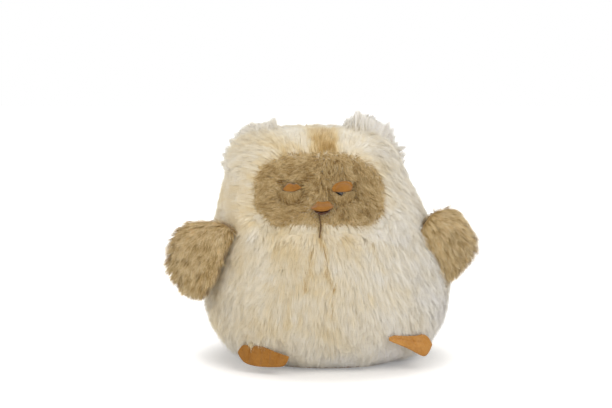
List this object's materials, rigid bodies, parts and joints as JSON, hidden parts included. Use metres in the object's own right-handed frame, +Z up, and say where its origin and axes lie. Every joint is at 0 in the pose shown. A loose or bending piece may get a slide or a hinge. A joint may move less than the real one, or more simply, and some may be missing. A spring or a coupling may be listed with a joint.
{
  "type": "plush owl",
  "caption": "Sitting plush owl: a pear-shaped body of long cream fur, a short-furred tan face with half-lidded eyes, hinged tan wings and suede beak and feet.",
  "frame": {"origin": "middle of the base panel's underside, on the floor that the owl sits on", "axes": "+Z up, -Y the way the owl faces, +X to the right of a viewer who looks at its face"},
  "size_m": [0.1817, 0.119, 0.1475],
  "materials": {
    "cream_fur": "long cream fur pile on a hide backing",
    "tan_fur": "short tan fur pile on a hide backing",
    "suede": "orange-brown suede",
    "eye_black": "polished black",
    "washer_white": "plain moulded white",
    "stuffing": "white loose fibre"
  },
  "bodies": {
    "owl": {"front_panel_left": "cream_fur", "front_panel_right": "cream_fur", "back_panel": "cream_fur", "base_panel": "suede", "face_panel": "tan_fur", "body_stuffing": "stuffing", "ear_tuft_left": "cream_fur", "ear_tuft_right": "cream_fur", "eye_left": "eye_black", "eye_right": "eye_black", "eye_washer_left": "washer_white", "eye_washer_right": "washer_white", "eyelid_left": "suede", "eyelid_right": "suede", "beak": "suede"},
    "wing_left": {"wing_left_front_panel": "tan_fur", "wing_left_back_panel": "tan_fur", "wing_left_stuffing": "stuffing"},
    "wing_right": {"wing_right_front_panel": "tan_fur", "wing_right_back_panel": "tan_fur", "wing_right_stuffing": "stuffing"},
    "foot_left": {"foot_left": "suede"},
    "foot_right": {"foot_right": "suede"}
  },
  "joints": [
    {"name": "wing_left_swing", "type": "hinge", "parent": "owl", "child": "wing_left", "pos_m": [-0.05422, -0.04127, 0.08399], "axis": [0.342, 0.9397, 0], "range_deg": [0, 50], "stiffness_Nm_per_rad": 0.01},
    {"name": "wing_right_swing", "type": "hinge", "parent": "owl", "child": "wing_right", "pos_m": [0.05554, -0.02982, 0.08644], "axis": [0.6691, -0.7431, 0], "range_deg": [0, 50], "stiffness_Nm_per_rad": 0.01},
    {"name": "foot_left_flap", "type": "hinge", "parent": "owl", "child": "foot_left", "pos_m": [-0.02175, -0.05426, 0.01263], "axis": [-0.8887, 0.4368, 0.1392], "range_deg": [-10, 45], "stiffness_Nm_per_rad": 0.002},
    {"name": "foot_right_flap", "type": "hinge", "parent": "owl", "child": "foot_right", "pos_m": [0.03482, -0.05382, 0.02195], "axis": [-0.8149, -0.5794, 0.0175], "range_deg": [-10, 45], "stiffness_Nm_per_rad": 0.002}
  ]
}
